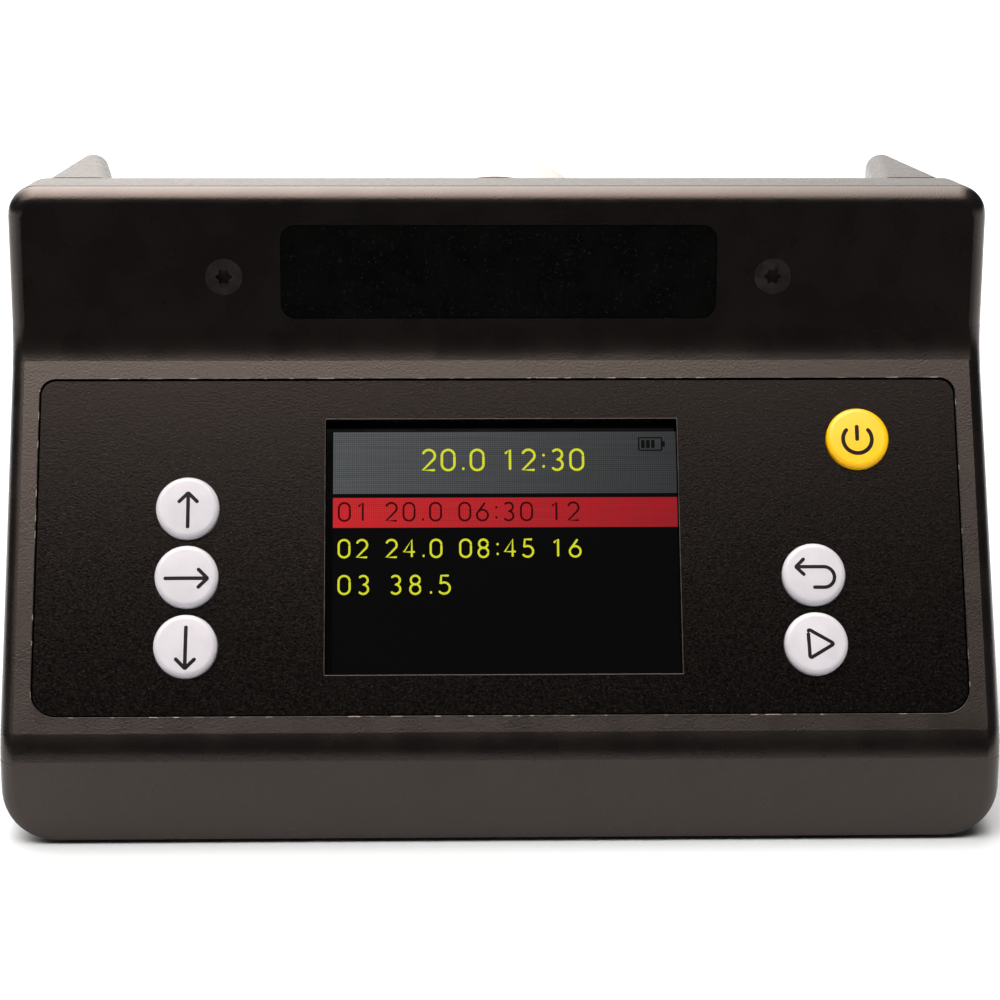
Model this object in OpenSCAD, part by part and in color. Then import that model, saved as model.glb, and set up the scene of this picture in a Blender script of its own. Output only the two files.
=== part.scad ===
// A desk-top film processor: a reclined console that turns a developing tank in the cradle behind it

/* [Console] */
// Width of the console
body_w = 165; // [156:1:190]
// Height of the upright front lip, from the floor to the panel's lower fold
lip_h = 16.8; // [15:0.1:24]
// Length of the reclined panel between its two folds
panel_len = 69.2; // [68:0.1:90]
// Lean of the panel back from upright, in degrees
recline = 30; // [26:1:34]
// Height of the upright header above the panel's upper fold
header_h = 26.5; // [25:0.5:36]
// Thickness of the moulded shells
wall = 3; // [2.6:0.1:3.4]
// Rounding of the console's outer edges
edge_r = 3; // [2:0.1:4]
// Rounding of the fold between lip and panel
fold_low_r = 9; // [6:0.5:14]
// Hollow rounding of the fold between panel and header
fold_high_r = 11; // [8:0.5:20]
// Radius of the console's lower corners, seen from the front
corner_low_r = 9; // [6:0.5:12]
// Radius of the console's upper corners, seen from the front
corner_high_r = 4.6; // [4.2:0.1:8]
// Height of the rubber feet below the console
foot_h = 0.8; // [0.6:0.1:2]
// Radius of the rubber feet
foot_r = 6.5; // [5:0.5:8]

/* [Rear] */
// Depth of the rear cover
cover_d = 18; // [17:0.5:24]
// Fall of the cover's and the cheeks' tops towards the back, in degrees
top_fall = 4.76; // [3:0.02:6]
// Thickness of the gasket in the seam
gasket_t = 0.4; // [0.3:0.1:0.8]
// Length of the cheeks behind the rear cover
cheek_len = 60; // [58:1:90]
// Distance of the cheeks' outer faces from the console's sides
cheek_inset = 3; // [2.5:0.1:5]
// Thickness of a cheek at its root
cheek_root_t = 13.3; // [12:0.1:16]
// Rounding of a cheek's edges, and half the thickness of its tip
cheek_r = 3; // [2.5:0.1:4]
// Thickness of the rubber pads inside the cheeks
pad_t = 1.2; // [0.8:0.1:2]
// Length of those pads
pad_len = 21; // [15:1:40]
// Height of the saddle block between the cheeks
saddle_h = 40; // [38:1:50]
// Wall of the saddle block
saddle_wall = 4; // [3.6:0.1:5]

/* [Panel] */
// Distance of the front overlay's ends from the console's sides
overlay_side = 5.3; // [4.5:0.1:8]
// Height of the front overlay, along the panel
overlay_h = 57.4; // [55:0.1:58]
// Distance of the overlay above the lower fold, along the panel
overlay_up = 5.4; // [4:0.1:6]
// Radius of the overlay's lower corners
overlay_r = 4; // [2:0.5:8]
// Radius of the overlay's upper corners
overlay_top_r = 2.4; // [1:0.1:8]
// Thickness of the overlay
overlay_t = 0.8; // [0.5:0.1:1.2]
// Width of the screen window
window_w = 59.4; // [50:0.2:62]
// Height of the screen window
window_h = 44; // [38:0.5:46]
// Sideways place of the window's middle
window_x = 0.35; // [-2:0.05:2]
// Height of the window's middle above the lower fold, along the panel
window_up = 34; // [33:0.1:36]
// Radius of the push buttons
button_r = 5.2; // [4.5:0.1:5.6]
// Pitch of the button rows
button_pitch = 11.75; // [11.6:0.05:13]
// Distance of the button columns from the overlay's ends
button_side = 25; // [21.5:0.1:26.5]
// Distance of the power button from the overlay's end
power_side = 16.75; // [16:0.05:21.5]
// Distance of the power button below the overlay's top
power_down = 10.65; // [9:0.05:12]
// Height of the lowest buttons above the lower fold, along the panel
button_up_first = 16.9; // [16:0.1:18]
// Height of a button's rim above the panel
button_rim = 0.4; // [0.3:0.1:2]
// Height of a button's dome above its rim
button_dome = 0.9; // [0.4:0.1:1.6]
// Travel of a button
button_travel = 0.8; // [0.4:0.1:1.2]
// Width of the name plate
plate_w = 73.4; // [60:0.2:80]
// Height of the name plate
plate_h = 15.7; // [12:0.1:17]
// Corner radius of the name plate
plate_r = 2.4; // [1:0.1:5]
// Thickness of the name plate
plate_t = 0.6; // [0.4:0.1:1]
// Height of the name plate's middle above the upper fold
plate_up = 12.4; // [12:0.1:14]
// Distance of the header screws from the name plate's ends
header_screw_side = 9.7; // [8.3:0.1:23]
// Height of the header screws above the upper fold
header_screw_up = 11.6; // [9:0.1:15]

/* [Drive] */
// Height of the spindle above the floor
axis_z = 76.7; // [75:0.1:80]
// Radius of the hub that carries the tank
hub_r = 23.7; // [20:0.1:25]
// Distance of the hub's end behind the rear cover
hub_reach = 38; // [34:0.5:44]
// Room between the tank that the rollers carry and the trough
tank_gap = 13; // [12:0.5:15]
// Radius of the spindle shaft
shaft_r = 5; // [4.6:0.1:6]
// Teeth of the spindle gear
spindle_teeth = 36; // [32:2:38]
// Teeth of the idler gear
idler_teeth = 50; // [46:2:54]
// Teeth of the motor pinion
pinion_teeth = 16; // [14:2:20]
// Width of the gears
gear_w = 5; // [4:0.1:5.4]
// Radius of the gear motor
motor_r = 11; // [10:0.1:11.2]
// Radius of the tank rollers
roller_r = 6; // [5:0.1:6.4]
// Length of the tank rollers
roller_len = 16; // [12:1:20]
// Angle of the rollers from straight below the spindle
roller_angle = 38; // [32:1:42]
// Radius of a battery cell
cell_r = 9.2; // [8:0.1:9.3]

/* [Hidden] */
$fn = 64;
hull_fn = 32;
slip_deep = 0.03;
slip_mid = 0.06;
slip_low = 0.09;
lap = 1;
past = 2;
cove_out = 1;
low_drop = 2;

// Clearances: fused overlap, seated faces, turning fits, sliding holes and dropped-in plates
fuse = 0.5;
seat = 0.05;
turn = 0.05;
slide = 0.3;
drop = 0.15;

// Colours
case_black = "#2a2726";
overlay_black = "#1c1a1a";
steel = "#b9bcc0";
dark_steel = "#3a3a3c";
brass_tone = "#b79a55";
white_cap = "#e6e4e8";
yellow_cap = "#f6c916";
board_green = "#1d5a3a";
rubber_black = "#1a1a1a";
chip_black = "#26262a";
glass_black = "#101214";
gear_white = "#e9e6dc";
cell_blue = "#3a5f9a";

// Main stations of the side profile
y_head = panel_len * sin(recline);
z_fold = lip_h + panel_len * cos(recline);
body_h = z_fold + header_h;
seam_land = 0.2;
seam_inset = 0.5;
y_seam = y_head + edge_r + seam_land;
y_cover = y_seam + gasket_t;
y_rear = y_cover + cover_d;
depth = y_rear + cheek_len;
y_inside = y_rear - wall;
z_floor = foot_h + wall;
low_c = [fold_low_r, lip_h - fold_low_r * tan(recline / 2)];
low_x = body_w / 2 - corner_low_r;
low_z = foot_h + corner_low_r;
high_x = body_w / 2 - corner_high_r;
high_z = body_h - corner_high_r;
high_y = y_head - fold_high_r;
high_c = [high_y, lip_h + (high_y * cos(recline) + fold_high_r) / sin(recline)];
back_r = 2.5;
back_top = top_z(y_rear);
back_slip = 0.25;

// Screws: thread, heads and six-lobed drive
screw_r = 1.5;
screw_gap = 0.1;
head_r = 2.75;
head_h = 2.2;
sunk_r = 3.15;
sunk_h = 1.7;
drive_r = 1.4;
drive_depth = 1.1;
boss_r = 4;
header_thread = 9;
plate_thread = 6;
plate_head_h = 1.8;
thread_gap = 2;

// Places across the panel and the header
overlay_w = body_w - 2 * overlay_side;
button_x = overlay_w / 2 - button_side;
power_x = overlay_w / 2 - power_side;
header_screw_x = plate_w / 2 + header_screw_side;
header_screw_z = z_fold + header_screw_up;

// Panel stack, inwards from the casing's face
overlay_sink = 0.2;
overlay_pocket = overlay_t + overlay_sink;
plate_sink = 0.15;
ear_w = 14;
ear_h = 5;
ear_t = 1.2;
stem_r = 1.5;
stem_in = 0.8;
ear_top = wall + seat;
ear_low = ear_top + ear_t;
switch_gap = 0.4;
switch_top = ear_low + button_travel + switch_gap;
switch_h = 3.5;
switch_w = 6;
board_top = switch_top + switch_h;
board_t = 1.6;
board_low = board_top + board_t;
board_edge = 4;
board_w = body_w - 2 * wall - 2 * board_edge;
board_foot = 6.3;
board_head = 10.2;
board_h = panel_len - board_foot - board_head;
board_mid = board_foot + board_h / 2;
post_r = 3;
post_inset = 3.5;
board_screw_len = board_t + 4.5;
chip_x = 38;
chip_w = 12;
chip_t = 1.6;
chip_down = 6;
chip_up = board_mid - chip_down;
plug_left = -56;
plug_right = 20;
plug_w = 14;
plug_h = 6;
plug_t = 5;
plug_rise = 10;
plug_up = board_mid + plug_rise;
buzzer_x = -24;
buzzer_r = 6;
glass_side = 5;
glass_end = 2.5;
glass_w = window_w + 2 * glass_side;
glass_h = window_h + 2 * glass_end;
glass_t = 2.2;
frame_rim = 1;
window_r = 0.6;
button_mid_up = button_up_first + button_pitch;
button_high_up = button_up_first + 2 * button_pitch;
power_up = overlay_up + overlay_h - power_down;
buttons = [
    [-button_x, button_high_up], [-button_x, button_mid_up], [-button_x, button_up_first],
    [power_x, power_up], [button_x, button_mid_up], [button_x, button_up_first]
];

// Cheeks
cheek_x = body_w / 2 - cheek_inset;
tip_y = depth - cheek_r;
tip_x = cheek_x - cheek_r;
root_x = cheek_x - cheek_root_t + cheek_r;
cheek_lean = (tip_x - root_x) / (tip_y - y_rear);
saddle_back = 8;

// Drive stations along the depth, and the gears' centres in the plane across it
plate_gap = 2.8;
drive_plate_t = 2;
gear_gap = 1;
y_plate = y_cover + plate_gap;
y_plate_back = y_plate + drive_plate_t;
y_gear = y_plate_back + gear_gap;
y_gear_back = y_gear + gear_w;
y_boss = y_gear_back + gear_gap;
boss_out = 4;
y_boss_end = y_rear + boss_out;
bearing_ring = 4.5;
bearing_wall = 4;
bearing_w = 5;
seal_ring = 3;
seal_w = 2.6;
shoulder = 1.5;
bearing_r = shaft_r + bearing_ring;
bearing_boss_r = bearing_r + bearing_wall;
seal_r = shaft_r + seal_ring;
shoulder_r = shaft_r + shoulder;
bush_wall = 2;
bush_flange = 1;
bush_rim = 1.5;
motor_gap = 0.5;
motor_side_gap = 1.3;
motor_low_gap = 1.54;
motor_end_gap = 2;
motor_len = cheek_len - saddle_back - saddle_wall - motor_end_gap;
motor_x = cheek_in(y_rear) - seat - saddle_wall - motor_r - motor_side_gap;
motor_z = foot_h + saddle_wall + motor_r + motor_low_gap;
reach = norm([motor_x, axis_z - motor_z]);
gear_slant = atan2(axis_z - motor_z, motor_x);
trough_r = reach - saddle_wall - motor_r - motor_gap;
tank_r = trough_r - tank_gap;
gear_module = 2 * reach / (spindle_teeth + 2 * idler_teeth + pinion_teeth);
backlash = 0.1;
pressure = 20;
addendum = 0.8;
dedendum = 1.2;
line = [cos(gear_slant), -sin(gear_slant)];
spindle_at = [0, axis_z];
idler_at = spindle_at + line * gear_module * (spindle_teeth + idler_teeth) / 2;
motor_at = spindle_at + line * reach;
idler_pin_r = 3;
motor_shaft_r = 2;
motor_boss_r = 3.5;
motor_screw_x = 7.5;
motor_screw_r = 1.25;
motor_head_r = 2.2;
motor_head_h = 1.6;
motor_thread = 4;
motor_bore = 12;
gearbox_len = 0.42 * motor_len;
motor_step = 0.6;
motor_cap_in = 3;
motor_cap_r = motor_r - motor_cap_in;
motor_cap = 3;
pin_out = 0.8;
pillar_r = 3;
pillar_gap = 2.5;
spindle_out = gear_module * (spindle_teeth / 2 + addendum) + pillar_r + pillar_gap;
idler_out = gear_module * (idler_teeth / 2 + addendum) + pillar_r + pillar_gap;
pillar_angle = [150, 70, 205];
pillars = [
    spindle_at + spindle_out * [cos(pillar_angle[0]), sin(pillar_angle[0])],
    idler_at + idler_out * [cos(pillar_angle[1]), sin(pillar_angle[1])],
    idler_at + idler_out * [cos(pillar_angle[2]), sin(pillar_angle[2])]
];
plate_rim = 2;
probe_r = 2;
probe_gap = 0.6;
probe_bore_r = probe_r + probe_gap;
holder_r = 12;
holder_t = 1.2;
holder_wall = 2.4;
end_gap = 0.4;
y_shaft = y_plate - bush_flange - drop;
y_holder = y_shaft - end_gap - holder_t;
hub_gap = 1.3;
hub_neck_r = 15;
hub_neck = 4;
hub_chamfer = 2;
hub_recess = 6;
nut_r = 8;
nut_t = 4;
slot_w = 4;
slot_d = 4;
nut_room = 2;
y_hub = y_boss_end + hub_gap;
y_drum = y_hub + hub_neck;
y_hub_end = y_rear + hub_reach;
y_nut = y_hub_end - hub_recess;
probe_out = 8;

// Saddle and rollers
pad_up = 6;
pad_gap = 1;
tyre_inset = 1;
saddle_end = depth - saddle_back;
side_screw_down = 8;
side_screw_first = 20;
side_screw_last = 10;
side_screw_z = saddle_h - side_screw_down;
side_screw_y = [y_rear + side_screw_first, saddle_end - side_screw_last];
side_boss = 9;
side_screw_gap = 1;
saddle_boss_in = 9.2;
saddle_boss_x = cheek_x - cheek_root_t - saddle_boss_in;
saddle_boss_down = 6.5;
saddle_boss_z = saddle_h - saddle_boss_down;
saddle_low_angle = 25;
saddle_head_gap = 1;
saddle_screw_len = 12;
saddle_low_x = trough_r * sin(saddle_low_angle);
saddle_low_z = z_floor + head_r + saddle_head_gap;
saddle_at = [
    [-saddle_boss_x, saddle_boss_z], [saddle_boss_x, saddle_boss_z],
    [-saddle_low_x, saddle_low_z], [saddle_low_x, saddle_low_z]
];
cheek_screw_low = 30;
cheek_screw_pitch = 28;
cheek_screw_z = [for (k = [0:2]) cheek_screw_low + k * cheek_screw_pitch];
cheek_screw_x = cheek_x - cheek_root_t / 2;
cheek_screw_len = 12;
roller_gap = 0.4;
tyre_t = 1.8;
roller_core_r = roller_r - tyre_t;
axle_r = 1.5;
ear_plate = 3;
bracket_t = 2;
bracket_half = roller_len / 2 + roller_gap + ear_plate;
bracket_tab = 7;
bracket_w = 15;
bracket_screw_y = bracket_half + bracket_tab / 2;
bracket_screw_len = 3.6;
small_screw_r = 1;
small_head_r = 1.9;
small_head_h = 1.3;
roller_back = 2;
y_roller = saddle_end - bracket_half - bracket_tab - roller_back;
roller_at = tank_r + roller_r;
ear_rise = 3.4;

// Battery, case screws, feet and inlet
tray_t = 1.2;
cell_y = 28;
cell_z = z_floor + seat + tray_t + cell_r;
tray_h = cell_r;
case_in = 10;
case_x = body_w / 2 - case_in;
case_post_r = 4.2;
case_low = 5.3;
case_z = lip_h - case_low;
cell_gap = 1.3;
cell_len = case_x - case_post_r - cell_gap - tray_t - slide;
case_thread = 16;
case_web = 4;
tunnel_r = 5;
foot_sink = 0.8;
foot_front_side = 20;
foot_front_in = 16;
foot_back_side = 32;
foot_back_in = 13;
foot_front = [body_w / 2 - foot_front_side, foot_front_in];
foot_back = [body_w / 2 - foot_back_side, saddle_end - foot_back_in];
inlet_in = 7.5;
inlet_y = y_cover + inlet_in;
inlet_up = 14.5;
inlet_z = case_z + inlet_up;
inlet_r = 4;
inlet_flange_r = 5.5;
inlet_flange = 1;
inlet_sink = 0.1;
inlet_len = 12;
socket_r = 2.75;
socket_len = 9.5;
socket_pin_r = 1;
inlet_nut_r = 6.5;
inlet_nut_t = 2.4;

// Points on an arc about c, from angle a to angle b
function arc(c, r, a, b, n) =
    [for (k = [0:n]) let (t = a + (b - a) * k / n) c + r * [cos(t), sin(t)]];

// Height of the falling top line at depth y
function top_z(y) = body_h - (y - y_cover) * tan(top_fall);

// Inner face of a cheek at depth y, measured from the middle
function cheek_in(y) = root_x + cheek_lean * (y - y_rear) - cheek_r * sqrt(1 + cheek_lean * cheek_lean);

// Involute function of an angle, in degrees
function inv(a) = tan(a) * 180 / PI - a;

// Half the angle that a tooth takes up at radius r
function tooth_half(n, r) =
    let (pitch_r = gear_module * n / 2, base_r = pitch_r * cos(pressure))
    90 / n - backlash / pitch_r * 90 / PI + inv(pressure) - inv(acos(base_r / max(r, base_r)));

// Outline of a gear with n teeth and one tooth centred on angle a
function gear_outline(n, a) =
    let (pitch_r = gear_module * n / 2, root_r = pitch_r - dedendum * gear_module)
    let (tip_r = pitch_r + addendum * gear_module, steps = 4)
    [for (k = [0:n - 1]) for (f = [-steps:steps])
        let (r = tip_r + (root_r - tip_r) * (abs(f) - 1) / (steps - 1))
        if (f != 0)
        let (t = a + 360 * k / n + sign(f) * tooth_half(n, r))
        r * [cos(t), sin(t)],
    ];

module in_frame() translate([0, -depth / 2, 0]) children();

module along_x(w) rotate([90, 0, 90]) linear_extrude(w, center = true) children();

module along_y(a, b) translate([0, b, 0]) rotate([90, 0, 0]) linear_extrude(b - a) children();

module rod_y(r, at, a, b) along_y(a, b) translate(at) circle(r);

// Frame of the panel: x across, y up the slope from the lower fold, z out of its face
module on_panel() translate([0, 0, lip_h]) rotate([90 - recline, 0, 0]) children();

// Frame of the header: x across, y up from the upper fold, z out of its face
module on_header() translate([0, y_head, z_fold]) rotate([90, 0, 0]) children();

// Frame about the spindle, turned so that down points at a roller: side is 1 right and -1 left
module at_roller(side) translate([0, y_roller, axis_z]) rotate([0, -side * roller_angle, 0]) children();

module on_both_sides() {
    children();
    mirror([1, 0, 0]) children();
}

// Rectangle with round corners
module round_rect(w, h, r) {
    square([w - 2 * r, h], center = true);
    square([w, h - 2 * r], center = true);
    for (x = [-1, 1], y = [-1, 1]) translate([x * (w / 2 - r), y * (h / 2 - r)]) circle(r);
}

module six_lobes(depth_in) translate([0, 0, -depth_in]) linear_extrude(depth_in + 1) {
    circle(drive_r * 0.76);
    for (k = [0:5]) rotate(60 * k) translate([drive_r * 0.78, 0]) circle(drive_r * 0.22);
}

// Countersunk screw with its head's face at z = 0, pointing down
module sunk_screw(len) difference() {
    union() {
        translate([0, 0, -sunk_h]) cylinder(r1 = screw_r, r2 = sunk_r, h = sunk_h);
        translate([0, 0, -len]) cylinder(r = screw_r, h = len - sunk_h / 2);
    }
    six_lobes(drive_depth);
}

// Pan-head screw seated on z = 0, pointing down
module pan_screw(r, len, h_r, h_h) difference() {
    union() {
        cylinder(r = h_r, h = h_h);
        translate([0, 0, -len]) cylinder(r = r, h = len + fuse);
    }
    translate([0, 0, h_h]) scale(h_r / head_r * 0.9) six_lobes(drive_depth);
}

module sunk_hole(len) {
    translate([0, 0, -sunk_h]) cylinder(r1 = screw_r + screw_gap, r2 = sunk_r + screw_gap, h = sunk_h);
    translate([0, 0, -seat]) cylinder(r = sunk_r + screw_gap, h = 1);
    translate([0, 0, -len]) cylinder(r = screw_r + screw_gap, h = len);
}

// Side profile of the console in y and z, drawn in by i, up to depth y_end
module side_profile(i, y_end) difference() {
    union() {
        polygon(concat(
            [[y_end, foot_h + i], [i, foot_h + i]],
            arc(low_c, fold_low_r - i, 180, 180 - recline, 1),
            arc(high_c, fold_high_r + i, -recline, 0, 1),
            [[y_head + i, body_h - i], [y_end, body_h - i]]
        ));
        translate(low_c) circle(fold_low_r - i);
    }
    translate(high_c) circle(fold_high_r + i);
}

// Front outline with round lower corners, drawn in by i, and sides up to height top
module low_outline(i, top) {
    translate([-low_x, foot_h + i]) square([2 * low_x, top - foot_h - i]);
    translate([i - body_w / 2, low_z]) square([body_w - 2 * i, top - low_z]);
    for (s = [-1, 1]) translate([s * low_x, low_z]) circle(corner_low_r - i);
}

// Front outline of the console in x and z with all corners round, drawn in by i
module front_outline(i) {
    low_outline(i, high_z);
    translate([-high_x, high_z - 1]) square([2 * high_x, corner_high_r - i + 1]);
    for (s = [-1, 1]) translate([s * high_x, high_z]) circle(corner_high_r - i);
}

module casing_core(i, y_end) intersection() {
    along_x(body_w - 2 * i) side_profile(i, y_end);
    along_y(-1, y_end) front_outline(i);
}

// Outline of a cut that rounds a square edge at the origin to radius r, with the body in +x and +y
module cove(r, slip) difference() {
    translate([-cove_out, -cove_out]) square(r - slip + cove_out);
    translate([r - slip, r - slip]) circle(r);
}

// An outline turned from angle a to b about a line along x, or about one along y
module turned_x(at, a, b) translate([0, at[0], at[1]]) rotate([90, 0, 90]) rotate(a)
    rotate_extrude(angle = b - a) children();

module turned_y(at, a, b) translate([at[0], 0, at[1]]) rotate([90, 0, 0]) rotate(a)
    rotate_extrude(angle = b - a) children();

// Cuts along the right-hand edges of the console's front: round ones lie deepest, hollow ones least deep.
// The cut round the lower corner sinks on its way down, so that the lowest edge stays nearly square.
module edge_cuts() {
    x = body_w / 2;
    fold_half = tan(recline / 2);
    slope = [fold_low_r * fold_half - lap, panel_len - fold_high_r * fold_half];
    translate([x, 0, low_z - low_drop - lap]) linear_extrude(low_c[1] - low_z + low_drop + 2 * lap)
        mirror([1, 0]) cove(edge_r, slip_mid);
    on_panel() along_y(slope[0], slope[1]) translate([x, 0]) rotate(180) cove(edge_r, slip_mid);
    translate([x, y_head, high_c[1]]) linear_extrude(high_z - high_c[1] + lap)
        mirror([1, 0]) cove(edge_r, slip_mid);
    turned_x(low_c, 180 - recline - past, 180 + past)
        translate([fold_low_r, x]) rotate(180) cove(edge_r, slip_deep);
    turned_x(high_c, -recline - past, past)
        translate([fold_high_r, x]) mirror([0, 1]) cove(edge_r, slip_low);
    turned_y([low_x, low_z - low_drop], -90 - past, past)
        translate([corner_low_r, 0]) rotate(180) cove(edge_r, slip_deep);
    turned_y([high_x, high_z], -past, 90 + past)
        translate([corner_high_r, -y_head]) rotate(180) cove(edge_r, slip_deep);
}

module casing_outer() difference() {
    casing_core(0, y_seam);
    on_both_sides() edge_cuts();
    along_x(2 * (low_x + lap)) translate([0, foot_h - low_drop]) cove(edge_r, slip_mid);
    along_x(2 * (high_x + lap)) translate([y_head, body_h]) mirror([0, 1]) cove(edge_r, slip_mid);
}

module board_posts() {
    x = board_w / 2 - post_inset;
    y = board_h / 2 - post_inset;
    for (sx = [-1, 1], sy = [-1, 1]) translate([sx * x, board_mid + sy * y, 0]) children();
}

module front_casing() color(case_black) in_frame() difference() {
    union() {
        difference() {
            casing_outer();
            casing_core(wall, y_seam + 1);
        }
        on_panel() board_posts() translate([0, 0, -board_top])
            cylinder(r = post_r, h = board_top - wall + fuse);
        for (s = [-1, 1]) rod_y(case_post_r, [s * case_x, case_z], wall - fuse, y_seam);
    }
    on_panel() {
        translate([0, 0, -overlay_pocket]) linear_extrude(overlay_pocket + 1) overlay_outline(drop);
        translate([window_x, window_up, -wall - 1]) linear_extrude(wall + 2)
            round_rect(window_w + 2 * slide, window_h + 2 * slide, window_r);
        for (b = buttons) translate([b[0], b[1], -wall - 1]) cylinder(r = button_r + slide, h = wall + 2);
        board_posts() translate([0, 0, -board_top - 1])
            cylinder(r = screw_r + screw_gap, h = board_top - wall);
    }
    on_header() {
        translate([0, plate_up, -plate_t - plate_sink]) linear_extrude(plate_t + 1)
            round_rect(plate_w + 2 * drop, plate_h + 2 * drop, plate_r + drop);
        for (s = [-1, 1]) translate([s * header_screw_x, header_screw_up, 0]) sunk_hole(wall + 1);
    }
    for (s = [-1, 1]) {
        rod_y(screw_r + screw_gap, [s * case_x, case_z], y_seam - case_thread, y_seam + 1);
        translate([s * foot_front[0], foot_front[1], 0]) cylinder(r = foot_r + drop, h = foot_h + foot_sink);
    }
}

// Body of the rear cover with its falling top, drawn in by i, between two depths
module cover_core(i, a, b) difference() {
    along_y(a, b) low_outline(i, 2 * body_h);
    translate([0, y_cover, body_h - i]) rotate([-top_fall, 0, 0]) along_y(-depth, depth) {
        translate([-body_w, 0]) square([2 * body_w, 2 * body_h]);
        translate([body_w / 2 - i, 0]) rotate(180) cove(corner_high_r - i, slip_deep);
        translate([i - body_w / 2, 0]) mirror([0, 1]) cove(corner_high_r - i, slip_deep);
    }
}

// Cuts along the right-hand edges of the rear cover's back
module back_cuts() {
    translate([body_w / 2, y_rear, low_z - lap]) linear_extrude(back_top - corner_high_r - low_z + 2 * lap)
        rotate(180) cove(back_r, back_slip + slip_deep);
    turned_y([low_x, low_z], -90 - past, past)
        translate([corner_low_r, -y_rear]) mirror([1, 0]) cove(back_r, back_slip);
    turned_y([high_x, back_top - corner_high_r], -past, 90 + past)
        translate([corner_high_r, -y_rear]) mirror([1, 0]) cove(back_r, back_slip);
}

module cover_shell() difference() {
    cover_core(0, y_cover, y_rear);
    cover_core(wall, y_cover - 1, y_inside);
    on_both_sides() back_cuts();
    along_x(2 * (low_x + lap)) translate([y_rear, foot_h]) mirror([1, 0]) cove(back_r, back_slip + slip_deep);
    along_x(2 * (high_x + lap)) translate([y_rear, back_top]) rotate(180) cove(back_r, back_slip + slip_deep);
}

module rear_cover() color(case_black) in_frame() difference() {
    union() {
        cover_shell();
        for (s = [-1, 1]) {
            rod_y(boss_r, [s * header_screw_x, header_screw_z], y_head + wall + seat, y_inside + fuse);
            rod_y(tunnel_r, [s * case_x, case_z], y_cover, y_inside + fuse);
        }
        for (p = pillars) rod_y(pillar_r, p, y_plate_back + seat, y_inside + fuse);
        rod_y(bearing_boss_r, spindle_at, y_boss, y_boss_end);
        rod_y(idler_pin_r + wall, idler_at, y_boss, y_inside + fuse);
    }
    rod_y(bearing_r + seat, spindle_at, y_boss - 1, y_boss + bearing_w);
    rod_y(shoulder_r, spindle_at, y_boss, y_boss_end + 1);
    rod_y(seal_r + seat, spindle_at, y_boss_end - seal_w, y_boss_end + 1);
    rod_y(idler_pin_r + seat, idler_at, y_boss - 1, y_inside + 1);
    rod_y(motor_boss_r + drop, motor_at, y_inside - 1, y_rear + 1);
    for (s = [-1, 1]) {
        rod_y(screw_r + screw_gap, [s * header_screw_x, header_screw_z], y_head, y_inside - 1);
        rod_y(head_r + slide, [s * case_x, case_z], y_cover + case_web, y_rear + 1);
        rod_y(screw_r + screw_gap, [s * case_x, case_z], y_cover - 1, y_rear);
        rod_y(motor_screw_r + screw_gap, motor_at + [0, s * motor_screw_x], y_inside - 1, y_rear + 1);
        for (z = cheek_screw_z) rod_y(screw_r + screw_gap, [s * cheek_screw_x, z], y_inside - 1, y_rear + 1);
    }
    for (p = pillars) rod_y(screw_r + screw_gap, p, y_plate_back, y_inside);
    for (p = saddle_at) rod_y(screw_r + screw_gap, p, y_inside - 1, y_rear + 1);
    at_inlet() {
        translate([0, 0, -1]) cylinder(r = inlet_r + drop, h = wall + 2);
        translate([0, 0, -1]) cylinder(r = inlet_flange_r + drop, h = inlet_flange + 1);
    }
}

module seam_gasket() color(rubber_black) in_frame() along_y(y_seam, y_cover) difference() {
    front_outline(seam_inset);
    front_outline(wall);
}

// Outline of the overlay on the panel, grown by g
module overlay_outline(g) translate([0, overlay_up + overlay_h / 2]) {
    w = overlay_w + 2 * g;
    h = overlay_h + 2 * g;
    round_rect(w, h, overlay_r + g);
    translate([0, h / 4]) round_rect(w, h / 2, overlay_top_r + g);
}

module control_overlay() color(overlay_black) in_frame() on_panel() difference() {
    translate([0, 0, -overlay_pocket]) linear_extrude(overlay_t) overlay_outline(0);
    translate([window_x, window_up, -wall]) linear_extrude(2 * wall)
        square([window_w, window_h], center = true);
    for (b = buttons) translate([b[0], b[1], -wall]) cylinder(r = button_r + slide, h = 2 * wall);
}

module name_plate() color(overlay_black) in_frame() on_header()
    translate([0, plate_up, -plate_t - plate_sink]) linear_extrude(plate_t)
        round_rect(plate_w, plate_h, plate_r);

module header_screws() color(dark_steel) in_frame() on_header()
    for (s = [-1, 1]) translate([s * header_screw_x, header_screw_up, 0]) sunk_screw(wall + header_thread);

module display_glass() color(glass_black) in_frame() on_panel()
    translate([window_x, window_up, -ear_top - glass_t]) linear_extrude(glass_t)
        square([glass_w, glass_h], center = true);

module display_frame() color(steel) in_frame() on_panel() difference() {
    translate([window_x, window_up, -board_top]) linear_extrude(board_top - ear_top)
        square([glass_w + 2 * (frame_rim + drop), glass_h + 2 * (frame_rim + drop)], center = true);
    translate([window_x, window_up, -ear_top - glass_t - seat]) linear_extrude(glass_t + 1)
        square([glass_w + 2 * drop, glass_h + 2 * drop], center = true);
}

module control_board() color(board_green) in_frame() on_panel() difference() {
    translate([0, board_mid, -board_low]) linear_extrude(board_t) square([board_w, board_h], center = true);
    board_posts() translate([0, 0, -board_low - 1]) cylinder(r = screw_r + screw_gap, h = board_t + 2);
}

module board_chips() color(chip_black) in_frame() on_panel() {
    for (k = [-1:1]) translate([k * chip_x, chip_up, -board_low - chip_t])
        linear_extrude(chip_t) square(chip_w, center = true);
    for (x = [plug_left, plug_right]) translate([x, plug_up, -board_low - plug_t])
        linear_extrude(plug_t) square([plug_w, plug_h], center = true);
}

module buzzer() color(rubber_black) in_frame() on_panel()
    translate([buzzer_x, plug_up, -board_low - plug_t]) cylinder(r = buzzer_r, h = plug_t);

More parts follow.
